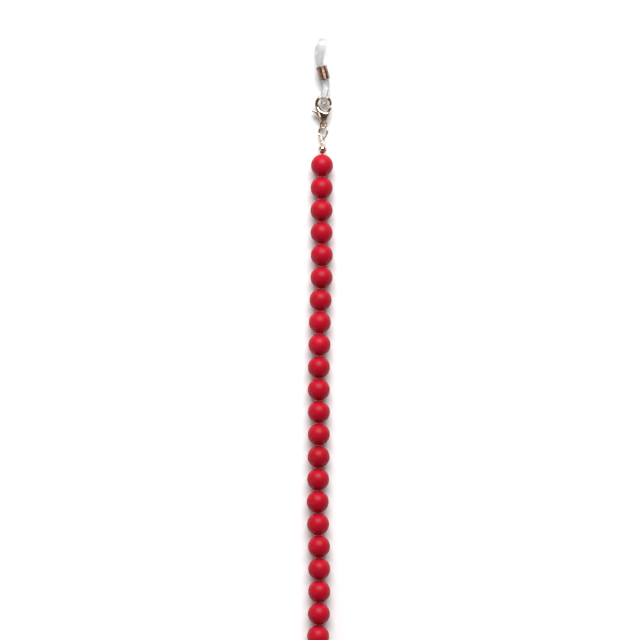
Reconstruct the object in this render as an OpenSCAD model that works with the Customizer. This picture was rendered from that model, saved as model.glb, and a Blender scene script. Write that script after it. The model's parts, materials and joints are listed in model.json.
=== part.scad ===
// Eyeglass retainer strap: a strand of round beads with a lobster clasp and a rubber temple loop at
// each end. It lies flat on a table: the first end and its beads run straight, the rest is coiled.
// Millimetres. +Z is up, the table is z = 0, +Y points along the straight run towards the first end.

/* [Beads] */
// Diameter of a bead
bead_diameter = 8; // [6:0.5:10]
// Distance between neighbouring bead centres along the wire
bead_pitch = 8.08; // [6.06:0.02:10.2]
// Diameter of the hole through a bead
bead_bore = 1.2; // [0.8:0.1:2]
// Diameter of the beading wire
wire_diameter = 0.45; // [0.3:0.05:0.6]

/* [Layout] */
// Beads that can bend one by one, counted from the first end
bending_beads = 24; // [24:1:24]
// Beads laid in the straight run before the coil starts
straight_beads = 29; // [26:1:29]
// Beads on the whole strand
total_beads = 80; // [70:1:90]
// Radius of the coil where the strand enters it
coil_radius = 50; // [40:1:60]
// How much nearer to the coil's centre each bead lies than the last
coil_drop = 0.25; // [0.2:0.01:0.4]

/* [Fittings] */
// Outside diameter of the ball that covers the crimp
ball_diameter = 3.2; // [2.5:0.1:4]
// Outside diameter of the jump ring
ring_diameter = 6; // [4:0.05:7]
// Wire diameter of the jump ring
ring_wire = 0.75; // [0.6:0.05:1]
// Angle between the jump ring and the table
ring_roll = 55; // [30:1:60]
// Thickness of the clasp over its two cheeks
clasp_thickness = 2.7; // [2:0.1:3.2]
// Width of the slot that the lever lies in
slot_width = 1.4; // [1:0.1:1.6]

/* [Temple loops] */
// Width of the rubber band
band_width = 2.4; // [1.6:0.1:2.8]
// Thickness of the rubber band
band_thickness = 1.1; // [0.8:0.1:1.4]
// Inside radius of the loop's round end, which grips the temple
grip_radius = 2.5; // [2:0.1:4]
// Length of the slider
slider_length = 5.1; // [4:0.1:7]
// Outside radius of the slider
slider_radius = 2; // [1.8:0.1:2.6]

/* [Hidden] */
$fn = 48;
bead_radius = bead_diameter / 2;
wire_radius = wire_diameter / 2;

// Sideways place of each point where two beads meet, from the first bead's outer pole to the coil
sway = [0, -0.15, -0.25, -0.25, -0.2, -0.1, -0.4, -0.8, -0.9, -1.1, -1.3, -1.2, -1.2, -1.25, -1.35,
        -1.6, -1.65, -1.3, -1.05, -1.1, -1.05, -1.35, -1.6, -1.6, -1.6, -1.6, -1.6, -1.6, -1.6, -1.6];

// Both ends: turn of the strand end, of the clasp and of the temple loop, each from the link before,
// and how far the temple loop leans over sideways
end_turn = [-2.3, -30];
clasp_turn = [2.3, -32];
temple_turn = [4, -6];
temple_lean = [0, -10];

// Heights and slopes of one end: it comes down from the bead's middle to the clasp, then rises
droop = 9.4;
clasp_pitch = 3.2;
saddle = 5.72;
ring_centre = 8.375;
eye_reach = 10.8;

// Wire guard and crimp
guard_half_width = 0.8;
guard_outer = 0.34;
guard_inner = 0.235;
ball_centre = 1.8;
ball_inner = 1.3;
crimp_low = 0.9;
crimp_high = 2.7;
crimp_outer = 0.75;
crimp_bore = 0.47;
crimp_wire_offset = 0.23;

// Clasp, from the middle of its eye
eye_middle_radius = 1.15;
eye_tube = 0.3;
hook_centre = [0, 7.6];
hook_middle_radius = 2.55;
hook_tube = 0.65;
hook_start = -14;
hook_end = 198;
pivot = [-0.43, 3.84];
pivot_radius = 0.45;
slot_low = 2.3;
slot_high = 5.6;
clasp_outline = [[-0.6, 1.15], [-1.3, 2.0], [-1.95, 3.8], [-2.4, 5.1], [-3.0, 6.6], [-3.1, 7.3],
                 [-2.5, 7.6], [-1.85, 7.3], [-1.45, 6.5], [-0.8, 5.75], [-0.2, 5.25], [0.5, 4.9],
                 [1.3, 4.75], [2.0, 4.75], [2.3, 4.4], [1.8, 3.0], [1.2, 1.9], [0.6, 1.15]];
lever_outline = [[-4.15, 5.35], [-4.15, 4.75], [-3.0, 4.4], [-2.0, 3.2], [-1.0, 2.95], [0, 2.95],
                 [0.7, 3.3], [1.9, 4.3], [2.6, 5.3], [2.8, 6.1], [2.5, 6.4], [2.0, 5.9], [1.3, 5.0],
                 [0.2, 4.7], [-1.4, 4.6], [-3.0, 5.1]];
lever_thickness = 1.2;
lever_thin_top = 0.2;
spring_inner = 0.55;
spring_outer = 0.85;
spring_low = 0.25;
spring_high = 0.65;

// Temple loop, from the middle of the clasp's hook bar, along the loop
bar_place = [0.15, 10.15];
lobe_middle = 1.9;
neck_middle = 0.57;
neck_start = 4.6;
neck_end = 12;
mouth_start = 17;
tip_centre = 17.7;
tip_middle = grip_radius + band_thickness / 2;
slider_centre = 8.5;
slider_bore = 1.66;
slider_turns = 15;

// Where two beads meet, in the straight run
function straight_y(i) =
    i == 0 ? 0 : straight_y(i - 1) - sqrt(pow(bead_pitch, 2) - pow(sway[i] - sway[i - 1], 2));
coil_centre = [sway[straight_beads] - coil_radius, straight_y(straight_beads)];

// Where two beads meet in the coil: each is one pitch from the last and a little nearer the centre
function coil_r(j) = coil_radius - coil_drop * j;
function coil_step(j) =
    2 * asin(sqrt(pow(bead_pitch, 2) - pow(coil_drop, 2)) / (2 * sqrt(coil_r(j) * coil_r(j - 1))));
function coil_angle(j) = j == 0 ? 0 : coil_angle(j - 1) - coil_step(j);
function coil_point(j) = coil_centre + coil_r(j) * [cos(coil_angle(j)), sin(coil_angle(j))];
function raw_gap(i) =
    i <= straight_beads ? [sway[i], straight_y(i)] : coil_point(i - straight_beads);
raw_gaps = [for (i = [0 : total_beads]) raw_gap(i)];

// The origin is under the middle of the strap's box
raw_middles = [for (i = [1 : total_beads]) (raw_gaps[i] + raw_gaps[i - 1]) / 2];
left_edge = min([for (c = raw_middles) c.x]) - bead_radius;
right_edge = max([for (c = raw_middles) c.x]) + bead_radius;
low_edge = min([for (c = raw_middles) c.y]) - bead_radius;
loop_reach = bar_place.y + tip_centre + grip_radius + band_thickness;
high_edge = eye_reach * cos(droop) + loop_reach * cos(clasp_pitch);
origin = [(left_edge + right_edge) / 2, (low_edge + high_edge) / 2];
gaps = [for (g = raw_gaps) g - origin];

function heading(v) = atan2(v.y, v.x) - 90;
end_place = [gaps[0], gaps[total_beads]];
end_heading = [heading(gaps[0] - gaps[1]), heading(gaps[total_beads] - gaps[total_beads - 1])];
end_yaw = [end_turn[0], end_heading[1] + end_turn[1]];

group_size = 8;
coil_groups = ceil((total_beads - bending_beads) / group_size);
end_letters = ["a", "b"];
function two_digits(n) = n < 10 ? str("0", n) : str(n);
function bead_name(i) = str("bead_", two_digits(i));
function group_name(g) = str("coil_beads_", g);
function end_name(part, e) = str(part, "_", end_letters[e]);

END_PARTS = ["crimp_tube", "crimp_cover", "wire_loop", "wire_guard", "jump_ring", "clasp_body",
             "clasp_lever", "clasp_pivot", "clasp_spring", "temple_loop", "slider"];

RED = [0.69, 0.02, 0.13];
GOLD = [0.85, 0.6, 0.35];
BRONZE = [0.45, 0.29, 0.2];
COPPER = [0.75, 0.45, 0.35];
CLEAR = [0.88, 0.88, 0.89];
STEEL = [0.7, 0.7, 0.72];

// One bead with its hole along Y, opened out a little at both mouths
module bead_shape() {
    mouth_depth = 0.35;
    color(RED) difference() {
        sphere(d = bead_diameter);
        rotate([90, 0, 0]) cylinder(h = bead_diameter + 1, d = bead_bore, center = true);
        for (side = [-90, 90]) {
            rotate([side, 0, 0])
                translate([0, 0, bead_radius - mouth_depth])
                    cylinder(h = mouth_depth + 0.05, d1 = bead_bore, d2 = bead_bore + 0.6);
        }
    }
}

// Bead i of the strand, between the meeting points i - 1 and i
module placed_bead(i) {
    middle = (gaps[i - 1] + gaps[i]) / 2;
    translate([middle.x, middle.y, bead_radius])
        rotate([0, 0, heading(gaps[i - 1] - gaps[i])])
            bead_shape();
}

module bead_group(g) {
    first = bending_beads + (g - 1) * group_size + 1;
    for (i = [first : min(first + group_size - 1, total_beads)]) {
        placed_bead(i);
    }
}

// A round wire through a list of points in a level plane, as one closed skin with eight sides
module swept_wire(points, height) {
    sides = 8;
    last = len(points) - 1;
    rings = [for (i = [0 : last])
        let (along = points[min(i + 1, last)] - points[max(i - 1, 0)],
             across = [along.y, -along.x] / norm(along))
        for (k = [0 : sides - 1])
            let (a = 360 * (k + 0.5) / sides)
            [points[i].x + wire_radius * cos(a) * across.x,
             points[i].y + wire_radius * cos(a) * across.y,
             height + wire_radius * sin(a)]];
    walls = [for (i = [0 : last - 1]) for (k = [0 : sides - 1])
        [i * sides + k, i * sides + (k + 1) % sides,
         (i + 1) * sides + (k + 1) % sides, (i + 1) * sides + k]];
    caps = [[for (k = [sides - 1 : -1 : 0]) k], [for (k = [0 : sides - 1]) last * sides + k]];
    color(STEEL) polyhedron(points = rings, faces = concat(walls, caps), convexity = 10);
}

module strand_wire() {
    swept_wire([for (i = [0 : bending_beads]) gaps[i]], bead_radius);
}

module coil_wire() {
    swept_wire([for (i = [bending_beads : total_beads]) gaps[i]], bead_radius);
}

// Frames of one end's links, each with its own +Y pointing away from the beads
module guard_frame(e) {
    translate([end_place[e].x, end_place[e].y, bead_radius])
        rotate([0, 0, end_yaw[e]])
            rotate([-droop, 0, 0])
                children();
}

module clasp_frame(e) {
    translate([end_place[e].x, end_place[e].y, bead_radius])
        rotate([0, 0, end_yaw[e]])
            translate([0, eye_reach * cos(droop), -eye_reach * sin(droop)])
                rotate([0, 0, clasp_turn[e]])
                    rotate([clasp_pitch, 0, 0])
                        children();
}

module temple_frame(e) {
    clasp_frame(e)
        translate([bar_place.x, bar_place.y, 0])
            rotate([0, temple_lean[e], temple_turn[e]])
                children();
}

// Crimp tube that pinches the wire and its returned end
module crimp_tube(e) {
    color(STEEL) guard_frame(e)
        translate([0, crimp_low, 0])
            rotate([-90, 0, 0])
                difference() {
                    cylinder(h = crimp_high - crimp_low, r = crimp_outer);
                    translate([0, 0, -1]) cylinder(h = crimp_high - crimp_low + 2, r = crimp_bore);
                }
}

// Hollow ball closed over the crimp, open where the wire enters and where the guard starts
module crimp_cover(e) {
    color(GOLD) guard_frame(e)
        translate([0, ball_centre, 0])
            rotate([0, ring_roll, 0])
                difference() {
                    sphere(d = ball_diameter);
                    sphere(r = ball_inner);
                    rotate([90, 0, 0]) cylinder(h = ball_diameter, r = 0.45);
                    translate([0, ball_diameter / 2, 0]) cube([2.4, 1.2, 0.8], center = true);
                }
}

// The strand's wire where it leaves the last bead, turns through the guard and comes back
module wire_loop(e) {
    h = guard_half_width;
    leg_low = saddle - 2.3;
    leg = [[crimp_wire_offset, crimp_low], [crimp_wire_offset, crimp_high + 0.05], [h, leg_low]];
    arc = [for (a = [0 : 15 : 180]) [h * cos(a), saddle + h * sin(a)]];
    back = [for (k = [len(leg) - 1 : -1 : 0]) [-leg[k].x, leg[k].y]];
    guard_frame(e)
        rotate([0, ring_roll, 0])
            swept_wire(concat([[0, 0.02]], leg, arc, back), 0);
}

module guard_section() {
    difference() {
        circle(r = guard_outer);
        circle(r = guard_inner);
        translate([0.1, -1]) square([1, 2]);
    }
}

// Horseshoe channel that keeps the wire round where it turns through the jump ring
module wire_guard(e) {
    leg = 2.2;
    color(GOLD) guard_frame(e)
        rotate([0, ring_roll, 0])
            translate([0, saddle, 0]) {
                rotate_extrude(angle = 180) translate([guard_half_width, 0]) guard_section();
                for (side = [0, 1]) {
                    mirror([side, 0, 0])
                        translate([guard_half_width, 0, 0])
                            rotate([90, 0, 0])
                                linear_extrude(leg) guard_section();
                }
            }
}

// Jump ring, split at one side
module jump_ring(e) {
    split = 4;
    color(GOLD) guard_frame(e)
        translate([0, ring_centre, 0])
            rotate([0, -ring_roll, 0])
                rotate([0, 0, 180 + split / 2])
                    rotate_extrude(angle = 360 - split)
                        translate([(ring_diameter - ring_wire) / 2, 0])
                            circle(d = ring_wire);
}

// Clasp casting: eye, two cheeks with the lever's slot between them, and the hook
module clasp_body(e) {
    color(BRONZE) clasp_frame(e) {
        rotate_extrude() translate([eye_middle_radius, 0]) circle(r = eye_tube);
        difference() {
            linear_extrude(clasp_thickness, center = true) polygon(clasp_outline);
            translate([-6, slot_low, -slot_width / 2])
                cube([12, slot_high - slot_low, slot_width]);
            translate([pivot.x, pivot.y, -3]) cylinder(h = 6, r = pivot_radius);
        }
        translate([hook_centre.x, hook_centre.y, 0])
            rotate([0, 0, hook_start])
                rotate_extrude(angle = hook_end - hook_start)
                    translate([hook_middle_radius, 0])
                        circle(r = hook_tube);
    }
}

// Lever: thumb tab on the left, gate on the right, thinned in the middle beside the spring
module clasp_lever(e) {
    color(GOLD) clasp_frame(e)
        difference() {
            linear_extrude(lever_thickness, center = true) polygon(lever_outline);
            translate([pivot.x, pivot.y, -1]) cylinder(h = 2, r = pivot_radius + 0.05);
            translate([-2.1, 2, lever_thin_top]) cube([3, 4, 1]);
        }
}

module clasp_pivot(e) {
    color(BRONZE) clasp_frame(e)
        translate([pivot.x, pivot.y, 0])
            cylinder(h = clasp_thickness + 0.2, r = pivot_radius, center = true);
}

// Return spring round the pivot, with one leg on the floor of the slot
module clasp_spring(e) {
    thick = spring_high - spring_low;
    color(STEEL) clasp_frame(e) {
        translate([pivot.x, pivot.y, spring_low])
            rotate_extrude() translate([spring_inner, 0]) square([spring_outer - spring_inner, thick]);
        translate([pivot.x - spring_outer, slot_low, spring_low])
            cube([spring_outer - spring_inner, pivot.y - slot_low, thick]);
    }
}

// Half height of the rubber loop's centre line, at a distance along it from the hook bar
function ease(x) = x <= 0 ? 0 : x >= 1 ? 1 : x * x * (3 - 2 * x);
function band_middle(s) =
    s < neck_end
        ? lobe_middle + (neck_middle - lobe_middle) * ease(s / neck_start)
        : neck_middle + (tip_middle - neck_middle) * ease((s - neck_end) / (mouth_start - neck_end));
function band_slope(s) = atan((band_middle(s + 0.01) - band_middle(s - 0.01)) / 0.02);
function band_edge(s, side) =
    [s - side * band_thickness / 2 * sin(band_slope(s)),
     band_middle(s) + side * band_thickness / 2 * cos(band_slope(s))];
band_stations = concat([for (s = [0 : 0.5 : 4.5]) s], [neck_start, neck_end],
                       [for (s = [12.5 : 0.5 : 17]) s], [tip_centre]);

// One edge of the rubber loop all the way round, seen from the side: 1 is its outside, -1 its inside
module band_border(side) {
    last = len(band_stations) - 1;
    top = [for (k = [last : -1 : 0]) band_edge(band_stations[k], side)];
    bottom = [for (s = band_stations) [band_edge(s, side).x, -band_edge(s, side).y]];
    circle(r = lobe_middle + side * band_thickness / 2);
    translate([tip_centre, 0]) circle(r = tip_middle + side * band_thickness / 2);
    polygon(concat(bottom, top));
}

// The rubber loop: a small lobe round the hook bar, a neck, and the wide mouth for the temple
module temple_loop(e) {
    color(CLEAR) temple_frame(e)
        rotate([90, 0, 90])
            linear_extrude(band_width, center = true)
                difference() {
                    band_border(1);
                    band_border(-1);
                }
}

// Slider: a close-wound coil of wire round both strands of the loop
module slider(e) {
    turn = slider_length / slider_turns;
    color(COPPER) temple_frame(e)
        translate([0, slider_centre - slider_length / 2, 0])
            rotate([-90, 0, 0])
                rotate_extrude() {
                    translate([slider_bore, 0]) square([turn / 2, slider_length]);
                    for (k = [0 : slider_turns - 1]) {
                        translate([slider_radius - turn / 2, (k + 0.5) * turn]) circle(d = turn);
                    }
                }
}

for (i = [1 : bending_beads]) {
    placed_bead(i);
}
for (g = [1 : coil_groups]) {
    bead_group(g);
}
strand_wire();
coil_wire();
for (e = [0, 1]) {
    crimp_tube(e);
    crimp_cover(e);
    wire_loop(e);
    wire_guard(e);
    jump_ring(e);
    clasp_body(e);
    clasp_lever(e);
    clasp_pivot(e);
    clasp_spring(e);
    temple_loop(e);
    slider(e);
}
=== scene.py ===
"""Beaded eyeglass strap: red beads, a crimped and guarded wire, a lobster clasp and a rubber temple
loop at each end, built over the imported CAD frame. Lengths are millimetres until a mesh is made."""

import json
import math

import bmesh
import bpy
from mathutils import Matrix, Vector


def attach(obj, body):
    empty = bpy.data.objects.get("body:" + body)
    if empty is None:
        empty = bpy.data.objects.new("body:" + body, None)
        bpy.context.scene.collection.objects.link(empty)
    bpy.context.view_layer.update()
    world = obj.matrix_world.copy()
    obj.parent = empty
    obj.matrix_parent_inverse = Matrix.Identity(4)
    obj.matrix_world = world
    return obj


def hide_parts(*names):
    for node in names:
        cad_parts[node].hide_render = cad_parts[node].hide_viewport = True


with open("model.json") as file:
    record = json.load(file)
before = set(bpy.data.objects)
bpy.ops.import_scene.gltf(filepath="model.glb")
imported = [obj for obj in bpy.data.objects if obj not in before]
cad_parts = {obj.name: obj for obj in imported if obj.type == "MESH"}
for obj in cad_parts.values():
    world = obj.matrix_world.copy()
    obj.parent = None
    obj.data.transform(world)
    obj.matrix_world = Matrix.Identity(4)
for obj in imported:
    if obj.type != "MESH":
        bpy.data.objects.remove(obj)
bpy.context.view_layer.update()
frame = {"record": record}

# Metres in a millimetre
MM = 0.001
JOINTS = {j["name"]: j for j in frame["record"]["behaviour"]["joints"]}
ENDS = ("a", "b")

# ---------------------------------------------------------------- the strand's measures, as in CAD
BEAD_DIAMETER = 8.0
BEAD_RADIUS = BEAD_DIAMETER / 2
BEAD_PITCH = 8.08
BORE_RADIUS = 0.6
WIRE_DIAMETER = 0.45
# Step along the wire's skin, and the twist of its strands in radians at each step
WIRE_STEP = 0.35
WIRE_TWIST = 0.22
# Part of a pitch that the wire's pieces stop short of each joint
WIRE_GAP = 0.005
BENDING_BEADS = 24
STRAIGHT_BEADS = 29
TOTAL_BEADS = 80
COIL_RADIUS = 50.0
COIL_DROP = 0.25
GROUP_SIZE = 8

# ---------------------------------------------------------------- camera and light
# Width of the view at the height of the beads' middles
VIEW_WIDTH = 230.6
# Middle of the view from the middle of the first bead
VIEW_OFFSET = (-0.72, -55.7)
LENS = 120.0
SENSOR = 36.0
SKY_AT_SIDES = (0.62, 0.62, 0.63)
SKY_ABOVE = (0.28, 0.28, 0.29)
SKY_STRENGTH = 0.38
# Half the side of the floor, in metres
FLOOR_REACH = 3.0


def joint_point(name):
    return Vector(JOINTS[name]["pos_m"]) / MM


def joint_axis(name):
    return Vector(JOINTS[name]["axis"]).normalized()


def axes_frame(origin, x, y, z):
    """The matrix of a frame with these axes at origin."""
    m = Matrix((x, y, z)).transposed().to_4x4()
    m.translation = origin
    return m


def strand_points():
    """Where two beads meet, from the first bead's outer pole to the last bead's."""
    points = [joint_point("end_bend_a")]
    points += [joint_point(f"bend_{k:02d}") for k in range(1, BENDING_BEADS + 1)]
    down = Vector((0, -BEAD_PITCH, 0))
    for _ in range(STRAIGHT_BEADS - BENDING_BEADS):
        points.append(points[-1] + down)
    centre = points[-1] - Vector((COIL_RADIUS, 0, 0))
    angle, radius = 0.0, COIL_RADIUS
    for _ in range(TOTAL_BEADS - STRAIGHT_BEADS):
        inner = radius - COIL_DROP
        chord = math.sqrt(BEAD_PITCH**2 - COIL_DROP**2)
        angle -= 2 * math.asin(chord / (2 * math.sqrt(radius * inner)))
        radius = inner
        points.append(centre + radius * Vector((math.cos(angle), math.sin(angle), 0)))
    return points


GAPS = strand_points()


def bead_frame(i):
    """Bead i's own frame: middle of the bead, +Y along its hole towards the first end."""
    a, b = GAPS[i - 1], GAPS[i]
    y = (a - b).normalized()
    z = Vector((0, 0, 1))
    return axes_frame((a + b) / 2, y.cross(z), y, z)


# ---------------------------------------------------------------- shared helpers
def put(name, data):
    """A new object with this data, in the scene."""
    o = bpy.data.objects.new(name, data)
    bpy.context.scene.collection.objects.link(o)
    return o


def noise_node(tree, scale, detail=4.0, roughness=0.5):
    """A 3-D noise in object space; scale is in features per millimetre."""
    coords = tree.nodes.new("ShaderNodeTexCoord")
    n = tree.nodes.new("ShaderNodeTexNoise")
    n.inputs["Scale"].default_value = scale / MM
    n.inputs["Detail"].default_value = detail
    n.inputs["Roughness"].default_value = roughness
    tree.links.new(coords.outputs["Object"], n.inputs["Vector"])
    return n.outputs["Fac"]


def ramp_node(tree, source, stops):
    """Turns a value into a colour by a list of (position, colour)."""
    r = tree.nodes.new("ShaderNodeValToRGB")
    while len(r.color_ramp.elements) < len(stops):
        r.color_ramp.elements.new(0.5)
    for element, (position, colour) in zip(r.color_ramp.elements, stops):
        element.position = position
        element.color = (*colour, 1)
    tree.links.new(source, r.inputs[0])
    return r.outputs[0]


def grey(value):
    return (value, value, value)


# ---------------------------------------------------------------- camera and light
def make_camera():
    """Straight above the strand, with a long lens."""
    centre = bead_frame(1).translation + Vector((*VIEW_OFFSET, 0))
    cam = put("camera", bpy.data.cameras.new("camera"))
    cam.data.lens = LENS
    cam.data.sensor_width = SENSOR
    cam.data.clip_start = 0.01
    cam.data.clip_end = 10
    distance = VIEW_WIDTH * LENS / SENSOR
    cam.location = (centre + Vector((0, 0, distance))) * MM
    bpy.context.scene.camera = cam


def area_light(name, place, target, size, power):
    light = bpy.data.lights.new(name, "AREA")
    light.shape = "RECTANGLE"
    light.size, light.size_y = size
    light.energy = power
    o = put(name, light)
    o.location = place
    o.rotation_mode = "QUATERNION"
    o.rotation_quaternion = (Vector(target) - Vector(place)).to_track_quat("-Z", "Y")


def make_lights():
    """A white studio, brighter at the sides than above, with a large key light past the clasp."""
    world = bpy.data.worlds.new("studio")
    bpy.context.scene.world = world
    world.use_nodes = True
    tree = world.node_tree
    background = tree.nodes["Background"]
    coords = tree.nodes.new("ShaderNodeTexCoord")
    split = tree.nodes.new("ShaderNodeSeparateXYZ")
    tree.links.new(coords.outputs["Generated"], split.inputs[0])
    sky = ramp_node(tree, split.outputs["Z"], [(0.5, SKY_AT_SIDES), (0.85, SKY_ABOVE)])
    tree.links.new(sky, background.inputs["Color"])
    background.inputs["Strength"].default_value = SKY_STRENGTH
    area_light("key", place=(0.1, 1.15, 1.15), target=(0.05, 0, 0), size=(1.3, 0.9), power=42.0)
    area_light("fill", place=(-1.3, -0.3, 0.9), target=(0, 0, 0), size=(0.3, 1.0), power=3.0)
    bpy.context.scene.view_settings.view_transform = "Standard"
    bpy.context.scene.view_settings.look = "None"


# ---------------------------------------------------------------- materials
def new_material(name):
    """A material with its node tree and its shader."""
    m = bpy.data.materials.new(name)
    m.use_nodes = True
    return m, m.node_tree, m.node_tree.nodes["Principled BSDF"]


def add_bump(tree, bsdf, source, height_mm, strength):
    b = tree.nodes.new("ShaderNodeBump")
    b.inputs["Strength"].default_value = strength
    b.inputs["Distance"].default_value = height_mm * MM
    tree.links.new(source, b.inputs["Height"])
    tree.links.new(b.outputs["Normal"], bsdf.inputs["Normal"])


def bead_material():
    """Satin red: a slow drift of shade over each bead, a pebbled skin and faint rub marks."""
    m, tree, bsdf = new_material("bead_red")
    cloud = noise_node(tree, 0.09, 3)
    colour = ramp_node(tree, cloud, [(0.3, (0.36, 0.001, 0.011)), (0.7, (0.45, 0.002, 0.018))])
    tree.links.new(colour, bsdf.inputs["Base Color"])
    rub = noise_node(tree, 1.4, 6, 0.6)
    rough = ramp_node(tree, rub, [(0.3, grey(0.38)), (0.75, grey(0.48))])
    tree.links.new(rough, bsdf.inputs["Roughness"])
    add_bump(tree, bsdf, noise_node(tree, 5.0, 3), 0.012, 0.35)
    bsdf.inputs["Specular IOR Level"].default_value = 0.17
    bsdf.inputs["Subsurface Weight"].default_value = 0.04
    bsdf.inputs["Subsurface Radius"].default_value = (1.0, 0.12, 0.1)
    bsdf.inputs["Subsurface Scale"].default_value = 0.8 * MM
    return m


def metal_material(name, dark, light, roughness):
    """Plated metal of two shades: slightly uneven plating, fine wear and hairline scratches.
    roughness is its lowest and its highest value."""
    m, tree, bsdf = new_material(name)
    bsdf.inputs["Metallic"].default_value = 1.0
    colour = ramp_node(tree, noise_node(tree, 0.8, 5), [(0.35, dark), (0.65, light)])
    tree.links.new(colour, bsdf.inputs["Base Color"])
    wear = noise_node(tree, 4.0, 8, 0.7)
    low, high = roughness
    rough = ramp_node(tree, wear, [(0.35, grey(low)), (0.75, grey(high))])
    tree.links.new(rough, bsdf.inputs["Roughness"])
    add_bump(tree, bsdf, noise_node(tree, 9.0, 4, 0.6), 0.004, 0.5)
    return m


def rubber_material():
    """Clear silicone: cloudy, a little tacky with dust, soft edges to its reflections."""
    m, tree, bsdf = new_material("silicone")
    cloud = noise_node(tree, 0.6, 4)
    colour = ramp_node(tree, cloud, [(0.3, (0.90, 0.905, 0.91)), (0.7, (0.95, 0.95, 0.955))])
    tree.links.new(colour, bsdf.inputs["Base Color"])
    dust = noise_node(tree, 6.0, 6, 0.7)
    rough = ramp_node(tree, dust, [(0.4, grey(0.32)), (0.7, grey(0.5))])
    tree.links.new(rough, bsdf.inputs["Roughness"])
    add_bump(tree, bsdf, noise_node(tree, 2.5, 3), 0.02, 0.3)
    bsdf.inputs["Transmission Weight"].default_value = 0.8
    bsdf.inputs["IOR"].default_value = 1.41
    bsdf.inputs["Subsurface Weight"].default_value = 0.9
    bsdf.inputs["Subsurface Radius"].default_value = (1.0, 1.0, 1.0)
    bsdf.inputs["Subsurface Scale"].default_value = 3.0 * MM
    return m


def floor_material():
    """Plain white paper."""
    m, tree, bsdf = new_material("floor_white")
    grain = noise_node(tree, 0.02, 3)
    colour = ramp_node(tree, grain, [(0.3, grey(0.90)), (0.7, grey(0.92))])
    tree.links.new(colour, bsdf.inputs["Base Color"])
    bsdf.inputs["Roughness"].default_value = 0.9
    bsdf.inputs["Specular IOR Level"].default_value = 0.1
    return m


# ---------------------------------------------------------------- mesh tools
def add_piece(name, verts, faces, material, body=None, nodes=(), slot=None):
    """A mesh from points in millimetres. With a body it rides on it and stands for CAD nodes."""
    mesh = bpy.data.meshes.new(name)
    mesh.from_pydata([Vector(v) * MM for v in verts], [], faces)
    bm = bmesh.new()
    bm.from_mesh(mesh)
    bmesh.ops.recalc_face_normals(bm, faces=bm.faces)
    bm.to_mesh(mesh)
    bm.free()
    mesh.polygons.foreach_set("use_smooth", [True] * len(mesh.polygons))
    mesh.materials.append(material)
    o = put(name, mesh)
    if body:
        stand_for(o, body, nodes)
    return o


def stand_for(o, body, nodes):
    """Tells the frame which body the piece moves with, which CAD nodes it replaces."""
    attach(o, body)
    if nodes:
        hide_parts(*nodes)


def band(a, b, n):
    """The faces between two closed rings of n points, numbered from a and from b."""
    return [(a + i, a + (i + 1) % n, b + (i + 1) % n, b + i) for i in range(n)]


def revolve(profile, steps, turn=360.0, start=0.0):
    """Turns a closed (radius, y) profile about Y. A part turn gets flat caps."""
    full = turn >= 360
    rings = steps if full else steps + 1
    verts, faces = [], []
    for k in range(rings):
        a = math.radians(start + turn * k / steps)
        verts += [(r * math.cos(a), y, r * math.sin(a)) for r, y in profile]
    n = len(profile)
    for k in range(steps):
        faces += band(k * n, ((k + 1) % rings) * n, n)
    if not full:
        faces.append(tuple(range(n)))
        faces.append(tuple(steps * n + i for i in reversed(range(n))))
    return verts, faces


def sweep(path, section, closed=False, up=None, turn=0.0):
    """Sweeps section(k), a list of (side, up) points, along a path, keeping it from twisting.
    up fixes the section's upward direction; turn adds a twist in radians at each step."""
    n = len(path)
    verts, faces, frames = [], [], []
    tangent = [None] * n
    for k in range(n):
        before = path[k - 1] if closed or k else path[0]
        after = path[(k + 1) % n] if closed or k < n - 1 else path[-1]
        tangent[k] = (after - before).normalized()
    lift = up or (Vector((0, 0, 1)) if abs(tangent[0].z) < 0.9 else Vector((1, 0, 0)))
    for k in range(n):
        if up is None and k:
            lift = tangent[k - 1].rotation_difference(tangent[k]) @ lift
        side = tangent[k].cross(lift).normalized()
        frames.append((side, side.cross(tangent[k]).normalized()))
    sides = len(section(0))
    for k in range(n):
        side, lift_k = frames[k]
        c, s = math.cos(turn * k), math.sin(turn * k)
        for u, v in section(k):
            verts.append(path[k] + side * (u * c - v * s) + lift_k * (u * s + v * c))
    for k in range(n if closed else n - 1):
        faces += band(k * sides, ((k + 1) % n) * sides, sides)
    if not closed:
        faces.append(tuple(reversed(range(sides))))
        faces.append(tuple((n - 1) * sides + i for i in range(sides)))
    return verts, faces


def oval(a, b, sides):
    """Points round an ellipse with half axes a and b."""
    turns = [2 * math.pi * i / sides for i in range(sides)]
    return [(a * math.cos(t), b * math.sin(t)) for t in turns]


def round_section(radius, sides):
    points = oval(radius, radius, sides)
    return lambda k: points


def strand_section(radius):
    """The outline of six fine wires laid round a core."""
    strands, per_strand = 6, 4
    fine = radius / 3
    points = []
    for s in range(strands):
        middle = 2 * math.pi * s / strands
        for j in range(per_strand):
            local = middle + math.radians(160 * j / (per_strand - 1) - 80)
            points.append((2 * fine * math.cos(middle) + fine * math.cos(local),
                           2 * fine * math.sin(middle) + fine * math.sin(local)))
    return lambda k: points


def ease(x):
    """Goes smoothly from 0 at 0 to 1 at 1."""
    x = min(max(x, 0.0), 1.0)
    return x * x * (3 - 2 * x)


def placed(matrix, verts):
    return [matrix @ Vector(v) for v in verts]


def resampled(points, spacing, closed=False):
    """The same line with evenly spaced points."""
    line = list(points) + ([points[0]] if closed else [])
    lengths = [0.0]
    for a, b in zip(line, line[1:]):
        lengths.append(lengths[-1] + (b - a).length)
    count = max(2, round(lengths[-1] / spacing))
    out, k = [], 0
    for i in range(count + (0 if closed else 1)):
        d = lengths[-1] * i / count
        while k < len(line) - 2 and lengths[k + 1] < d:
            k += 1
        span = lengths[k + 1] - lengths[k]
        out.append(line[k].lerp(line[k + 1], (d - lengths[k]) / span if span else 0))
    return out


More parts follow.
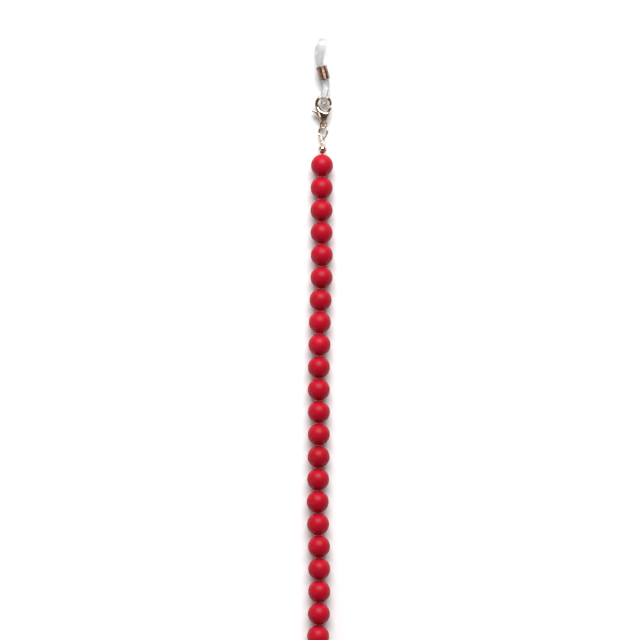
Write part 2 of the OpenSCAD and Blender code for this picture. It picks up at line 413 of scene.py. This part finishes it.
def smooth_line(points, closed=False):
    """A Catmull-Rom curve through given points, with four steps from each to the next."""
    n, per_span = len(points), 4
    out = []
    for i in range(n if closed else n - 1):
        p0 = points[(i - 1) % n] if closed or i else points[0]
        p1, p2 = points[i], points[(i + 1) % n]
        p3 = points[(i + 2) % n] if closed or i + 2 < n else points[-1]
        for k in range(per_span):
            t = k / per_span
            out.append(0.5 * (2 * p1 + (p2 - p0) * t + (2 * p0 - 5 * p1 + 4 * p2 - p3) * t * t
                              + (3 * p1 - p0 - 3 * p2 + p3) * t**3))
    if not closed:
        out.append(points[-1])
    return out


def joined(parts):
    """Several (verts, faces) meshes as one."""
    verts, faces = [], []
    for v, f in parts:
        base = len(verts)
        verts += list(v)
        faces += [tuple(base + i for i in face) for face in f]
    return verts, faces


# ---------------------------------------------------------------- beads and the wire in them
def bead_mesh():
    """A turned bead: round outside, rounded mouths, a straight hole."""
    mouth, steps, around = 13.0, 30, 48
    outside = []
    for k in range(steps + 1):
        a = math.radians(mouth + (180 - 2 * mouth) * k / steps)
        outside.append((BEAD_RADIUS * math.sin(a), BEAD_RADIUS * math.cos(a)))
    lip = [(0.82, 3.90), (0.74, 3.86), (0.67, 3.77), (0.62, 3.62), (BORE_RADIUS, 3.4)]
    top = [(r, y) for r, y in reversed(lip)]
    bottom = [(r, -y) for r, y in lip]
    return revolve(top + outside + bottom, around)


def wire_piece(name, path, body, nodes=(), diameter=WIRE_DIAMETER):
    """A length of stranded wire along a path."""
    line = resampled(path, WIRE_STEP)
    verts, faces = sweep(line, strand_section(diameter / 2), turn=WIRE_TWIST)
    return add_piece(name, verts, faces, WIRE, body, nodes, "steel_wire")


def make_strand():
    """The beads that bend, each with its piece of wire, and the coil's beads in groups."""
    shape, faces = bead_mesh()
    for i in range(1, BENDING_BEADS + 1):
        body = f"bead_{i:02d}"
        verts = placed(bead_frame(i), shape)
        add_piece(f"red_{body}", verts, faces, BEAD, body, [body], "red_bead")
        inner = [GAPS[i - 1].lerp(GAPS[i], t) for t in (WIRE_GAP, 0.5, 1 - WIRE_GAP)]
        wire_piece(f"wire_in_{body}", inner, body, ["strand_wire"] if i == 1 else ())
    groups = math.ceil((TOTAL_BEADS - BENDING_BEADS) / GROUP_SIZE)
    for g in range(1, groups + 1):
        first = BENDING_BEADS + (g - 1) * GROUP_SIZE + 1
        last = min(first + GROUP_SIZE - 1, TOTAL_BEADS)
        many = [(placed(bead_frame(i), shape), faces) for i in range(first, last + 1)]
        verts, all_faces = joined(many)
        name = f"coil_beads_{g}"
        add_piece(f"red_{name}", verts, all_faces, BEAD, "coil", [name], "red_bead")


def make_coil_wire():
    """The wire through the coiled beads, as one curve."""
    curve = bpy.data.curves.new("wire_in_coil", "CURVE")
    curve.dimensions = "3D"
    curve.bevel_depth = WIRE_DIAMETER / 2 * MM
    curve.bevel_resolution = 3
    curve.use_fill_caps = True
    line = curve.splines.new("POLY")
    points = GAPS[BENDING_BEADS:]
    points[0] = points[0].lerp(points[1], WIRE_GAP)
    line.points.add(len(points) - 1)
    for p, gap in zip(line.points, points):
        p.co = (*(gap * MM), 1)
    curve.materials.append(WIRE)
    o = put("wire_in_coil", curve)
    stand_for(o, "coil", ["coil_wire"])


# ---------------------------------------------------------------- one end's frames, from its joints
def end_frames(e):
    """Frames of the strand end, its ring, the clasp and the temple loop."""
    start = joint_point(f"end_bend_{e}")
    eye = joint_point(f"clasp_swivel_{e}")
    along = (eye - start).normalized()
    rolled = joint_axis(f"ring_swing_{e}")
    guard = axes_frame(start, rolled, along, rolled.cross(along))
    bar = joint_point(f"loop_swing_{e}")
    up = joint_axis(f"clasp_swivel_{e}")
    offset = math.atan2(BAR_PLACE[0], BAR_PLACE[1])
    out = (Matrix.Rotation(offset, 3, up) @ (bar - eye)).normalized()
    clasp = axes_frame(eye, out.cross(up), out, up)
    across = joint_axis(f"loop_swing_{e}")
    reach = joint_axis(f"slider_slide_{e}")
    temple = axes_frame(bar, across, reach, across.cross(reach))
    return guard, clasp, temple


# ---------------------------------------------------------------- crimp, ball, guard and ring
CRIMP_LOW = 0.9
CRIMP_HIGH = 2.7
CRIMP_OUTER = 0.75
CRIMP_BORE = 0.47
CRIMP_BITE = 0.22
BALL_RADIUS = 1.6
BALL_INSIDE = 1.38
BALL_CENTRE = 1.8
# Angles from the ball's pole at which its two mouths open, and the turn that its wall spans
BALL_MOUTHS = (19, 163)
BALL_SPAN = 352
SADDLE = 5.72
GUARD_HALF_WIDTH = 0.8
GUARD_OUTER = 0.295
GUARD_INNER = 0.232
GUARD_FLARE = 0.14
# Half the angle of the channel's open side
GUARD_OPENING = 52
GUARD_FOOT = 3.5
GUARD_WIRE = 0.44
RING_CENTRE = 8.375
RING_RADIUS = 2.625
RING_WIRE = 0.72
RING_SPLIT = 3.5
RING_OFFSET = 0.03
RING_TO_GUARD = math.radians(-110)


def make_crimp(e, guard, body):
    """A tube with broken edges, bitten flat in its middle."""
    low, high, outer, rim = CRIMP_LOW, CRIMP_HIGH, CRIMP_OUTER, CRIMP_OUTER - 0.03
    profile = [(CRIMP_BORE, low), (rim, low), (outer, low + 0.05), (outer, high - 0.05),
               (rim, high), (CRIMP_BORE, high)]
    fine = []
    for (r0, y0), (r1, y1) in zip(profile, profile[1:] + profile[:1]):
        steps = 10 if abs(y1 - y0) > 1 else 1
        fine += [(r0 + (r1 - r0) * k / steps, y0 + (y1 - y0) * k / steps) for k in range(steps)]
    verts, faces = revolve(fine, 32)
    pinch = []
    for x, y, z in verts:
        bite = CRIMP_BITE * math.exp(-(((y - (low + high) / 2) / 0.4) ** 2))
        pinch.append((x * (1 + bite * 0.15), y, z * (1 - bite)))
    add_piece(f"crimp_{e}", placed(guard, pinch), faces, WIRE, body, [f"crimp_tube_{e}"],
              "steel_wire")


def make_ball(e, guard, body):
    """The crimp cover: a cup folded shut, with its seam and the mouths at both ends."""
    first, last = BALL_MOUTHS
    steps = 28
    outside, inside = [], []
    for k in range(steps + 1):
        a = math.radians(first + (last - first) * k / steps)
        outside.append((BALL_RADIUS * math.sin(a), BALL_CENTRE + BALL_RADIUS * math.cos(a)))
        inside.append((BALL_INSIDE * math.sin(a), BALL_CENTRE + BALL_INSIDE * math.cos(a)))
    lip = (inside[-1][0] + 0.02, inside[-1][1] - 0.08)
    profile = outside + [lip] + list(reversed(inside))
    verts, faces = revolve(profile, 56, turn=BALL_SPAN, start=94)
    add_piece(f"crimp_ball_{e}", placed(guard, verts), faces, GOLD, body,
              [f"crimp_cover_{e}"], "gold")


def guard_path(low):
    """Up one leg, round the bend and down the other."""
    h = GUARD_HALF_WIDTH
    path = [Vector((h, low, 0))]
    path += [Vector((h, low + (SADDLE - low) * k / 6, 0)) for k in range(1, 6)]
    for k in range(25):
        a = math.pi * k / 24
        path.append(Vector((h * math.cos(a), SADDLE + h * math.sin(a), 0)))
    path += [Vector((-p.x, p.y, 0)) for p in reversed(path[:6])]
    return path


def make_guard(e, guard, body):
    """A horseshoe channel, open on its outside and flared at both feet, and the wire in it."""
    path = guard_path(GUARD_FOOT)
    last = len(path) - 1

    def channel(k):
        d = min(k, last - k)
        flare = 1 + GUARD_FLARE * max(0, 1 - d / 2)
        span = 360 - 2 * GUARD_OPENING
        angles = [math.radians(GUARD_OPENING + span * i / 12) for i in range(13)]
        outer, inner = GUARD_OUTER * flare, GUARD_INNER * flare
        return ([(outer * math.cos(a), outer * math.sin(a)) for a in angles]
                + [(inner * math.cos(a), inner * math.sin(a)) for a in reversed(angles)])

    verts, faces = sweep(path, channel, up=Vector((0, 0, 1)))
    add_piece(f"guard_{e}", placed(guard, verts), faces, GOLD, body, [f"wire_guard_{e}"], "gold")
    out = [Vector((0, 0.045, 0)), Vector((0.2, 0.8, 0)), Vector((0.23, 1.6, 0)),
           Vector((0.23, 2.6, 0)), Vector((0.6, 3.15, 0))]
    back = [Vector((-p.x, p.y, 0)) for p in reversed(out[2:])]
    rough_line = out + guard_path(GUARD_FOOT + 0.1) + back
    line = [guard @ p for p in smooth_line(rough_line)]
    wire_piece(f"wire_end_{e}", line, body, [f"wire_loop_{e}"], GUARD_WIRE)


def make_ring(e, guard, body):
    """An open jump ring: round wire with two sawn ends that nearly meet."""
    count = 96
    turned = guard @ Matrix.Translation((0, RING_CENTRE, 0)) @ Matrix.Rotation(RING_TO_GUARD, 4, "Y")
    path = []
    for k in range(count + 1):
        t = k / count
        a = math.radians(180 + RING_SPLIT / 2 + (360 - RING_SPLIT) * t)
        path.append(Vector((RING_RADIUS * math.cos(a), RING_RADIUS * math.sin(a),
                            RING_OFFSET * (t - 0.5))))
    verts, faces = sweep(path, round_section(RING_WIRE / 2, 20), up=Vector((0, 0, 1)))
    add_piece(f"ring_{e}", placed(turned, verts), faces, GOLD, body, [f"jump_ring_{e}"], "gold")


# ---------------------------------------------------------------- clasp
BAR_PLACE = (0.15, 10.15)
EYE_RADIUS = 1.15
EYE_TUBE = 0.3
HOOK_CENTRE = Vector((0, 7.6, 0))
HOOK_RADIUS = 2.55
HOOK_START = 205
HOOK_SPAN = 220
PIVOT = Vector((-0.43, 3.84, 0))
PIVOT_RADIUS = 0.45
SLOT = (2.35, 5.55)
SLOT_HALF_WIDTH = 0.7
# Half thickness of the cheeks, and of the plate's thin ends
CHEEK = 1.35
CHEEK_THIN = 0.5
# How far in from their rim the cheeks go on swelling
CHEEK_ROUNDING = 1.3
CLASP_OUTLINE = [(-0.45, 1.0), (-1.2, 1.95), (-1.85, 3.6), (-2.35, 5.0), (-2.95, 6.5), (-3.12, 7.4),
                 (-2.6, 7.9), (-1.95, 7.4), (-1.5, 6.5), (-0.85, 5.75), (-0.2, 5.2), (0.5, 4.85),
                 (1.3, 4.75), (1.95, 4.75), (2.2, 4.3), (1.75, 3.0), (1.15, 1.8), (0.45, 1.0)]
LEVER_OUTLINE = [(-4.1, 5.35), (-4.2, 5.0), (-4.0, 4.75), (-3.0, 4.35), (-2.0, 3.2), (-1.0, 2.95),
                 (0, 2.95), (0.8, 3.4), (1.8, 4.2), (2.55, 5.2), (2.85, 6.05), (2.62, 6.4),
                 (2.15, 6.1), (1.7, 5.4), (1.1, 4.9), (0.2, 4.65), (-1.4, 4.55), (-2.8, 5.0),
                 (-3.6, 5.3)]
LEVER_HALF = 0.6
LEVER_EDGE = 0.16
RIVET_HALF = 1.24
SPRING_WIRE = 0.13
SPRING_RADIUS = 0.68
SPRING_TURNS = 3
SPRING_LOW = 0.31
SPRING_RISE = 0.27
# Grid of the melted casting, and how far its outline grows to make up for what melting takes off
VOXEL = 0.075
GROWTH = 0.15


def outline_curve(outline, spacing):
    """Listed corners as a smooth closed line."""
    points = [Vector((x, y, 0)) for x, y in outline]
    return resampled(smooth_line(points, closed=True), spacing, closed=True)


def grown(line, margin):
    """A closed flat line, moved outwards by a margin, or inwards by a negative one."""
    area = sum(a.x * b.y - b.x * a.y for a, b in zip(line, line[1:] + line[:1]))
    out = []
    for k, p in enumerate(line):
        along = (line[(k + 1) % len(line)] - line[k - 1]).normalized()
        out.append(p + Vector((along.y, -along.x, 0)) * math.copysign(1, area) * margin)
    return out


def plate(outline, half_thickness, edge):
    """A smooth outline as a flat plate with rounded edges."""
    line = outline_curve(outline, 0.14)
    n, steps = len(line), 5
    layers = []
    for j in range(steps + 1):
        a = math.pi / 2 * j / steps
        height = half_thickness - edge + edge * math.sin(a)
        layers.append((grown(line, -edge * (1 - math.cos(a))), height))
    levels = [(ring, -height) for ring, height in reversed(layers)] + layers
    verts = [Vector((p.x, p.y, z)) for ring, z in levels for p in ring]
    faces = []
    for r in range(len(levels) - 1):
        faces += band(r * n, (r + 1) * n, n)
    faces.append(tuple(reversed(range(n))))
    faces.append(tuple((len(levels) - 1) * n + i for i in range(n)))
    return verts, faces


def apply_modifiers(o):
    """Gives the object the mesh that its modifiers make."""
    bpy.context.view_layer.update()
    made = bpy.data.meshes.new_from_object(
        o.evaluated_get(bpy.context.evaluated_depsgraph_get()))
    old = o.data
    o.modifiers.clear()
    o.data = made
    bpy.data.meshes.remove(old)


def pillow(outline, half_thickness, rounding):
    """A smooth outline as a solid that swells from its rim. Its half height reaches
    half_thickness(y) at a distance of rounding from the rim."""
    line = grown(outline_curve(outline, 0.12), GROWTH)
    pairs = list(zip(line, line[1:] + line[:1]))
    step = 0.11

    def inside(x, y):
        hits = 0
        for a, b in pairs:
            if (a.y > y) != (b.y > y) and x < a.x + (y - a.y) * (b.x - a.x) / (b.y - a.y):
                hits += 1
        return hits % 2 == 1

    verts, index = [], {}
    low_x, low_y = min(p.x for p in line), min(p.y for p in line)
    columns = int((max(p.x for p in line) - low_x) / step) + 1
    rows = int((max(p.y for p in line) - low_y) / step) + 1
    for i in range(columns + 1):
        for j in range(rows + 1):
            x, y = low_x + i * step, low_y + j * step
            if inside(x, y):
                rim = min(math.hypot(p.x - x, p.y - y) for p in line)
                swell = math.sqrt(1 - (1 - min(1, (rim + 0.08) / rounding)) ** 2)
                index[i, j] = len(verts)
                z = half_thickness(y) * swell
                verts += [(x, y, z), (x, y, -z)]
    cells = [(i, j) for i, j in index
             if all((i + a, j + b) in index for a, b in ((1, 0), (0, 1), (1, 1)))]
    faces, rims = [], {}
    for i, j in cells:
        corner = [index[i, j], index[i + 1, j], index[i + 1, j + 1], index[i, j + 1]]
        faces.append(tuple(corner))
        faces.append(tuple(v + 1 for v in reversed(corner)))
        for a, b in zip(corner, corner[1:] + corner[:1]):
            if (b, a) in rims:
                del rims[b, a]
            else:
                rims[a, b] = True
    faces += [(b, a, a + 1, b + 1) for a, b in rims]
    return verts, faces


def melt(o, softening):
    """Fuses overlapping solids into one skin and rounds its creases in so many passes."""
    remesh = o.modifiers.new("melt", "REMESH")
    remesh.mode = "VOXEL"
    remesh.voxel_size = VOXEL * MM
    soften = o.modifiers.new("soften", "SMOOTH")
    soften.factor = 0.5
    soften.iterations = softening
    apply_modifiers(o)


def combine(o, operation, verts, faces):
    """Adds a solid to an object or cuts it out, by the name of the boolean operation."""
    tool = add_piece("tool", verts, faces, BRONZE)
    m = o.modifiers.new("combine", "BOOLEAN")
    m.operation = operation
    m.solver = "EXACT"
    m.object = tool
    apply_modifiers(o)
    bpy.data.objects.remove(tool, do_unlink=True)


def move_to(o, place):
    """Takes a mesh made in a part's own millimetres to that part's frame."""
    o.data.transform(Matrix.Scale(MM, 4) @ place @ Matrix.Scale(1 / MM, 4))


def box_mesh(low, high):
    """A block between two opposite corners."""
    xs, ys, zs = zip(low, high)
    verts = [(x, y, z) for x in xs for y in ys for z in zs]
    faces = [(0, 1, 3, 2), (4, 6, 7, 5), (0, 4, 5, 1), (2, 3, 7, 6), (0, 2, 6, 4), (1, 5, 7, 3)]
    return verts, faces


def hook_path():
    """The hook's arc, from inside the cheeks round to its tip."""
    path, steps = [], 60
    for k in range(steps + 1):
        a = math.radians(HOOK_START - HOOK_SPAN * k / steps)
        path.append(HOOK_CENTRE + HOOK_RADIUS * Vector((math.cos(a), math.sin(a), 0)))
    return path


def make_clasp_body(e, clasp, body):
    """The casting: eye, cheeks and hook melted into one skin, then slotted for the lever."""
    def cheek(y):
        swell = ease((y - 0.6) / 2.2) * ease((7.6 - y) / 3.2)
        return CHEEK_THIN + (CHEEK - CHEEK_THIN) * swell

    path = hook_path()
    last = len(path) - 1

    def hook(k):
        """Thickest where it leaves the cheeks, rounded off over its last five steps."""
        t = k / last
        deep = 0.66 + 0.3 * (1 - t) ** 2
        wide = 0.64 - 0.05 * t
        close = 1.0
        if k > last - 5:
            close = math.sqrt(max(0.05, 1 - ((k - last + 5) / 5.2) ** 2))
        return oval(wide * close, deep * close, 20)

    up = Vector((0, 0, 1))
    cheeks = pillow(CLASP_OUTLINE, cheek, CHEEK_ROUNDING)
    arm = sweep(path, hook, up=up)
    eye_line = [Vector((x, y, 0)) for x, y in oval(EYE_RADIUS, EYE_RADIUS, 48)]
    eye = sweep(eye_line, round_section(EYE_TUBE, 14), closed=True, up=up)
    slot = box_mesh((-6, SLOT[0], -SLOT_HALF_WIDTH), (6, SLOT[1], SLOT_HALF_WIDTH))
    o = add_piece(f"clasp_{e}", *joined([cheeks, arm]), BRONZE)
    melt(o, 12)
    combine(o, "UNION", *eye)
    melt(o, 4)
    combine(o, "DIFFERENCE", *slot)
    move_to(o, clasp)
    o.data.polygons.foreach_set("use_smooth", [True] * len(o.data.polygons))
    stand_for(o, body, [f"clasp_body_{e}"])


def upright_at_pivot():
    """A frame whose Y runs along the rivet."""
    return Matrix.Translation(PIVOT) @ Matrix.Rotation(math.pi / 2, 4, "X")


def make_lever(e, clasp, body):
    """Thumb tab and gate, drilled for the rivet and thinned on one side to make room for the spring."""
    hole_radius = PIVOT_RADIUS + 0.05
    hole, hole_faces = revolve([(0.001, -1), (hole_radius, -1), (hole_radius, 1), (0.001, 1)], 32)
    o = add_piece(f"lever_{e}", *plate(LEVER_OUTLINE, LEVER_HALF, LEVER_EDGE), ROSE)
    combine(o, "DIFFERENCE", *box_mesh((-2.1, 2, 0.2), (0.9, 6, 1)))
    combine(o, "DIFFERENCE", placed(upright_at_pivot(), hole), hole_faces)
    move_to(o, clasp)
    o.data.shade_flat()
    stand_for(o, body, [f"clasp_lever_{e}"])


def make_rivet(e, clasp, body):
    """Rivet with a domed head on each cheek."""
    half = RIVET_HALF
    dome = [(0.004, half + 0.07), (0.2, half + 0.06), (0.36, half + 0.035), (0.43, half),
            (PIVOT_RADIUS, half - 0.05)]
    profile = dome + [(PIVOT_RADIUS, 0.0)] + [(r, -y) for r, y in reversed(dome)]
    verts, faces = revolve(profile, 32)
    add_piece(f"rivet_{e}", placed(clasp @ upright_at_pivot(), verts), faces, BRONZE, body,
              [f"clasp_pivot_{e}"], "bronze")


def make_spring(e, clasp, body):
    """Torsion spring: three turns round the rivet, one leg down to the slot's floor."""
    path, steps = [], 24 * SPRING_TURNS
    for k in range(steps + 1):
        t = k / steps
        a = math.radians(180 + 360 * SPRING_TURNS * t)
        path.append(PIVOT + Vector((SPRING_RADIUS * math.cos(a), SPRING_RADIUS * math.sin(a),
                                    SPRING_LOW + SPRING_RISE * t)))
    leg = [Vector((PIVOT.x - SPRING_RADIUS, y, SPRING_LOW)) for y in (2.45, 3.1)]
    verts, faces = sweep(leg + path, round_section(SPRING_WIRE / 2, 8))
    add_piece(f"spring_{e}", placed(clasp, verts), faces, SPRING, body, [f"clasp_spring_{e}"],
              "spring_steel")


# ---------------------------------------------------------------- rubber loop and slider
LOBE_MIDDLE = 1.9
NECK_MIDDLE = 0.57
NECK_START = 4.6
NECK_END = 12.0
MOUTH_START = 17.0
TIP_CENTRE = 17.7
TIP_MIDDLE = 3.05
BAND_HALF_WIDTH = 1.2
BAND_HALF_THICKNESS = 0.55
SLIDER_CENTRE = 8.6
SLIDER_TURNS = 22
SLIDER_LENGTH = 5.05
SLIDER_WIRE = 0.23
SLIDER_WIRE_HALF_DEPTH = 0.05
SLIDER_RADIUS = 1.93
# (distance along the loop, how far it lies to the right of its axis there), as soft rubber does
WANDER = [(-3, 0), (0, 0.05), (1.5, 0.5), (4, 0.95), (6.4, 0.75), (8.8, 0.28), (12.2, -0.45),
          (15, -0.5), (18.3, 0.2), (20.5, 1.1), (22, 1.5)]
# Sideways lean of the loop for each millimetre of its height
LEAN = 0.27


def wander(s):
    """Smooth interpolation of WANDER."""
    s = min(max(s, WANDER[0][0]), WANDER[-1][0])
    k = max(i for i in range(len(WANDER) - 1) if WANDER[i][0] <= s or i == 0)
    (s1, v1), (s2, v2) = WANDER[k], WANDER[k + 1]
    s0, v0 = WANDER[k - 1] if k else (s1 - 1, v1)
    s3, v3 = WANDER[k + 2] if k + 2 < len(WANDER) else (s2 + 1, v2)
    m1 = (v2 - v0) / (s2 - s0)
    m2 = (v3 - v1) / (s3 - s1)
    h = s2 - s1
    t = (s - s1) / h
    return (v1 * (2 * t**3 - 3 * t * t + 1) + v2 * (3 * t * t - 2 * t**3)
            + m1 * h * (t**3 - 2 * t * t + t) + m2 * h * (t**3 - t * t))


def band_middle(s):
    """Half the distance between the loop's two strands, s along it from the hook bar."""
    if s < NECK_END:
        return LOBE_MIDDLE + (NECK_MIDDLE - LOBE_MIDDLE) * ease(s / NECK_START)
    return NECK_MIDDLE + (TIP_MIDDLE - NECK_MIDDLE) * ease(
        (s - NECK_END) / (MOUTH_START - NECK_END))


def loop_line():
    """The band's centre line: lobe round the hook bar, top strand out, round the tip, back."""
    flat = []
    for k in range(13):
        a = math.radians(-90 - 180 * k / 12)
        flat.append((LOBE_MIDDLE * math.cos(a), LOBE_MIDDLE * math.sin(a)))
    stations = [0.5 * k for k in range(1, 35)]
    flat += [(s, band_middle(s)) for s in stations]
    for k in range(17):
        a = math.radians(90 - 180 * k / 16)
        flat.append((TIP_CENTRE + TIP_MIDDLE * math.cos(a), TIP_MIDDLE * math.sin(a)))
    flat += [(s, -band_middle(s)) for s in reversed(stations)]
    line = []
    for s, t in flat:
        lean = LEAN * t * ease((s - 0.5) / 4)
        line.append(Vector((wander(s) + lean, s, t)))
    return resampled(line, 0.3, closed=True)


def make_loop(e, temple, body):
    """Silicone band with rounded edges, its flat sides kept parallel to the hook bar."""
    sides = 20
    section = [(BAND_HALF_WIDTH * math.copysign(abs(c) ** 0.75, c),
                BAND_HALF_THICKNESS * math.copysign(abs(s) ** 0.75, s))
               for c, s in oval(1, 1, sides)]
    path = loop_line()
    n = len(path)
    verts, faces = [], []
    for k in range(n):
        along = (path[(k + 1) % n] - path[k - 1]).normalized()
        side = Vector((1, 0, 0))
        side = (side - along * side.dot(along)).normalized()
        out = side.cross(along)
        verts += [path[k] + side * u + out * v for u, v in section]
    for k in range(n):
        faces += band(k * sides, ((k + 1) % n) * sides, sides)
    add_piece(f"rubber_loop_{e}", placed(temple, verts), faces, SILICONE, body,
              [f"temple_loop_{e}"], "clear_rubber")


def make_slider(e, temple, body):
    """A close-wound coil of flat plated wire, lying along the loop where that wanders across."""
    per_turn = 28
    count = SLIDER_TURNS * per_turn
    slope = (wander(SLIDER_CENTRE + 1) - wander(SLIDER_CENTRE - 1)) / 2
    tilt = Matrix.Rotation(-math.atan(slope), 4, "Z")
    place = temple @ Matrix.Translation((wander(SLIDER_CENTRE), SLIDER_CENTRE, 0)) @ tilt
    pitch = (SLIDER_LENGTH - SLIDER_WIRE) / SLIDER_TURNS
    path = []
    for k in range(count + 1):
        t = k / per_turn
        a = 2 * math.pi * t
        path.append(Vector((SLIDER_RADIUS * math.cos(a), pitch * (t - SLIDER_TURNS / 2),
                            SLIDER_RADIUS * math.sin(a))))
    flat = oval(SLIDER_WIRE_HALF_DEPTH, SLIDER_WIRE / 2, 12)
    verts, faces = sweep(path, lambda k: flat, up=Vector((0, 1, 0)))
    add_piece(f"slider_coil_{e}", placed(place, verts), faces, COPPER, body, [f"slider_{e}"],
              "copper")


def make_end(e):
    """All the fittings of one end."""
    guard, clasp, temple = end_frames(e)
    make_crimp(e, guard, f"strand_end_{e}")
    make_ball(e, guard, f"strand_end_{e}")
    make_guard(e, guard, f"strand_end_{e}")
    make_ring(e, guard, f"ring_{e}")
    make_clasp_body(e, clasp, f"clasp_{e}")
    make_lever(e, clasp, f"lever_{e}")
    make_rivet(e, clasp, f"clasp_{e}")
    make_spring(e, clasp, f"clasp_{e}")
    make_loop(e, temple, f"loop_{e}")
    make_slider(e, temple, f"slider_{e}")


def make_floor():
    reach = FLOOR_REACH
    corners = [(-reach, -reach, 0), (reach, -reach, 0), (reach, reach, 0), (-reach, reach, 0)]
    mesh = bpy.data.meshes.new("floor")
    mesh.from_pydata(corners, [], [(0, 1, 2, 3)])
    mesh.materials.append(floor_material())
    put("floor", mesh)


# ---------------------------------------------------------------- materials, then the whole scene
BEAD = bead_material()
WIRE = metal_material("wire_steel", (0.55, 0.55, 0.57), (0.75, 0.75, 0.77), (0.22, 0.4))
GOLD = metal_material("rose_gold_plate", (0.60, 0.46, 0.34), (0.80, 0.64, 0.50), (0.08, 0.22))
ROSE = metal_material("rose_gold_lever", (0.55, 0.40, 0.31), (0.74, 0.58, 0.48), (0.12, 0.3))
BRONZE = metal_material("bronze_plate", (0.38, 0.28, 0.20), (0.60, 0.46, 0.36), (0.08, 0.20))
SPRING = metal_material("spring_steel", (0.45, 0.45, 0.47), (0.65, 0.65, 0.68), (0.2, 0.35))
COPPER = metal_material("copper_coil", (0.17, 0.09, 0.06), (0.42, 0.27, 0.21), (0.10, 0.22))
SILICONE = rubber_material()

make_camera()
make_lights()
make_coil_wire()
make_strand()
for end in ENDS:
    make_end(end)
make_floor()
